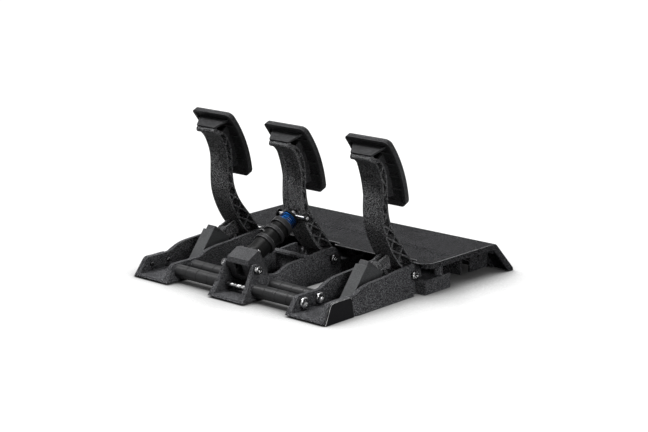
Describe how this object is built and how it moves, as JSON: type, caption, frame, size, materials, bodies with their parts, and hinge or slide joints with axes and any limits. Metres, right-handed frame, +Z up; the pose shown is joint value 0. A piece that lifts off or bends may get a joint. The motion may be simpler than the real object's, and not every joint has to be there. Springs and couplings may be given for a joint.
{
  "type": "sim racing pedal set",
  "caption": "Sim racing pedal set: sprung throttle and clutch arms and a load cell brake with an elastomer stack, on open cast frames joined by tie rods, with a sloped heel plate.",
  "frame": {"origin": "on the floor, in the middle of the set's footprint and of the brake module", "axes": "+X across the pedals towards the throttle, +Y towards the toe end where the arms tip when pressed, +Z up"},
  "size_m": [0.3598, 0.345, 0.2032],
  "materials": {
    "frame_paint": "fine satin powder coat",
    "arm_paint": "fine satin powder coat",
    "pad_shell_plastic": "matte moulded",
    "pad_tread": "matte with a fine grain",
    "screw_steel": "blackened",
    "bushing_plastic": "moulded",
    "bolt_black": "blackened",
    "circuit": "solder mask",
    "magnet_metal": "plated",
    "cartridge_plastic": "fine moulded",
    "plunger_plastic": "smooth moulded",
    "spring_steel": "drawn wire",
    "pin_steel": "ground",
    "load_cell_plastic": "moulded",
    "load_cell_plate_metal": "satin",
    "load_cell_aluminium": "milled",
    "rod_steel": "turned",
    "elastomer_rubber": "matte",
    "cup_plastic": "moulded",
    "preload_paint": "blue coated wire",
    "tie_rod_steel": "plated",
    "ring_aluminium": "turned, satin",
    "cover_plastic": "fine moulded",
    "foot_rubber": "matte",
    "heel_plastic": "fine spark-eroded grain",
    "box_plastic": "moulded",
    "socket_metal": "plated sheet"
  },
  "bodies": {
    "base": {"throttle_frame": "frame_paint", "brake_frame": "frame_paint", "clutch_frame": "frame_paint", "heel_plate": "heel_plastic", "heel_plate_screws": "screw_steel", "electronics_housing": "box_plastic", "electronics_lid": "box_plastic", "circuit_board": "circuit", "cable_socket": "socket_metal", "pivot_bolts": "bolt_black", "pivot_nuts": "bolt_black", "sensor_boards": "circuit", "cartridge_base_pins": "pin_steel", "toe_bolts": "bolt_black", "toe_bushes": "bushing_plastic", "tie_rods": "tie_rod_steel", "tie_rod_nuts": "tie_rod_steel", "spacer_rings": "ring_aluminium", "toe_covers": "cover_plastic", "rubber_feet": "foot_rubber"},
    "throttle_pedal": {"throttle_arm": "arm_paint", "throttle_pad_shell": "pad_shell_plastic", "throttle_pad_plate": "pad_tread", "throttle_pad_screws": "screw_steel", "throttle_bushings": "bushing_plastic", "throttle_fork_pin": "pin_steel", "throttle_magnet": "magnet_metal"},
    "clutch_pedal": {"clutch_arm": "arm_paint", "clutch_pad_shell": "pad_shell_plastic", "clutch_pad_plate": "pad_tread", "clutch_pad_screws": "screw_steel", "clutch_bushings": "bushing_plastic", "clutch_fork_pin": "pin_steel", "clutch_magnet": "magnet_metal"},
    "brake_pedal": {"brake_arm": "arm_paint", "brake_pad_shell": "pad_shell_plastic", "brake_pad_plate": "pad_tread", "brake_pad_screws": "screw_steel", "brake_bushings": "bushing_plastic", "cross_pin": "pin_steel", "cross_pin_clips": "pin_steel"},
    "throttle_cartridge": {"throttle_spring_housing": "cartridge_plastic", "throttle_coil_spring": "spring_steel"},
    "throttle_slider": {"throttle_spring_plunger": "plunger_plastic"},
    "clutch_cartridge": {"clutch_spring_housing": "cartridge_plastic", "clutch_coil_spring": "spring_steel"},
    "clutch_slider": {"clutch_spring_plunger": "plunger_plastic"},
    "load_cell_unit": {"load_cell_housing": "load_cell_plastic", "load_cell_plate": "load_cell_plate_metal", "load_cell": "load_cell_aluminium", "load_cell_screws": "screw_steel", "elastomer_1": "elastomer_rubber"},
    "first_cup": {"cup_1": "cup_plastic", "elastomer_2": "elastomer_rubber"},
    "second_cup": {"cup_2": "cup_plastic", "elastomer_3": "elastomer_rubber"},
    "third_cup": {"cup_3": "cup_plastic", "preload_spring": "preload_paint"},
    "brake_plunger": {"brake_rod": "rod_steel", "spring_seat": "pin_steel"}
  },
  "joints": [
    {"name": "throttle_press", "type": "hinge", "parent": "base", "child": "throttle_pedal", "pos_m": [0.1326, -0.007, 0.0225], "axis": [-1, 0, 0], "range_deg": [0, 14], "stiffness_Nm_per_rad": 26, "springref_deg": -4.58},
    {"name": "throttle_cartridge_swing", "type": "hinge", "parent": "base", "child": "throttle_cartridge", "pos_m": [0.1326, 0.07, 0.01], "axis": [1, 0, 0], "range_deg": [0, 7.93]},
    {"name": "throttle_plunger_slide", "type": "slide", "parent": "throttle_cartridge", "child": "throttle_slider", "axis": [0, 0.6211, -0.7837], "range_m": [0, 0.00993], "deforming": ["throttle_coil_spring"]},
    {"name": "clutch_press", "type": "hinge", "parent": "base", "child": "clutch_pedal", "pos_m": [-0.126, -0.007, 0.0225], "axis": [-1, 0, 0], "range_deg": [0, 14], "stiffness_Nm_per_rad": 26, "springref_deg": -4.58},
    {"name": "clutch_cartridge_swing", "type": "hinge", "parent": "base", "child": "clutch_cartridge", "pos_m": [-0.126, 0.07, 0.01], "axis": [1, 0, 0], "range_deg": [0, 7.93]},
    {"name": "clutch_plunger_slide", "type": "slide", "parent": "clutch_cartridge", "child": "clutch_slider", "axis": [0, 0.6211, -0.7837], "range_m": [0, 0.00993], "deforming": ["clutch_coil_spring"]},
    {"name": "brake_press", "type": "hinge", "parent": "base", "child": "brake_pedal", "pos_m": [0, -0.001, 0.0225], "axis": [-1, 0, 0], "range_deg": [0, 6], "stiffness_Nm_per_rad": 520, "springref_deg": -0.57},
    {"name": "load_cell_swing", "type": "hinge", "parent": "base", "child": "load_cell_unit", "pos_m": [0, 0.1425, 0.038], "axis": [1, 0, 0], "range_deg": [0, 1.38]},
    {"name": "brake_rod_slide", "type": "slide", "parent": "load_cell_unit", "child": "brake_plunger", "axis": [0, 0.8935, -0.4491], "range_m": [0, 0.0081]},
    {"name": "first_cup_slide", "type": "slide", "parent": "load_cell_unit", "child": "first_cup", "axis": [0, 0.8935, -0.4491], "range_m": [0, 0.00236], "deforming": ["elastomer_1", "elastomer_2"]},
    {"name": "second_cup_slide", "type": "slide", "parent": "load_cell_unit", "child": "second_cup", "axis": [0, 0.8935, -0.4491], "range_m": [0, 0.00383], "deforming": ["elastomer_3"]},
    {"name": "third_cup_slide", "type": "slide", "parent": "load_cell_unit", "child": "third_cup", "axis": [0, 0.8935, -0.4491], "range_m": [0, 0.00491], "deforming": ["preload_spring"]}
  ],
  "couplings": [
    {"joint": "throttle_cartridge_swing", "follows": "throttle_press", "ratio": 0.566},
    {"joint": "throttle_plunger_slide", "follows": "throttle_press", "m_per_rad": 0.040628},
    {"joint": "clutch_cartridge_swing", "follows": "clutch_press", "ratio": 0.566},
    {"joint": "clutch_plunger_slide", "follows": "clutch_press", "m_per_rad": 0.040628},
    {"joint": "load_cell_swing", "follows": "brake_press", "ratio": 0.2287},
    {"joint": "brake_rod_slide", "follows": "brake_press", "m_per_rad": 0.07727},
    {"joint": "first_cup_slide", "follows": "brake_press", "m_per_rad": 0.0224},
    {"joint": "second_cup_slide", "follows": "brake_press", "m_per_rad": 0.0365},
    {"joint": "third_cup_slide", "follows": "brake_press", "m_per_rad": 0.0468}
  ]
}
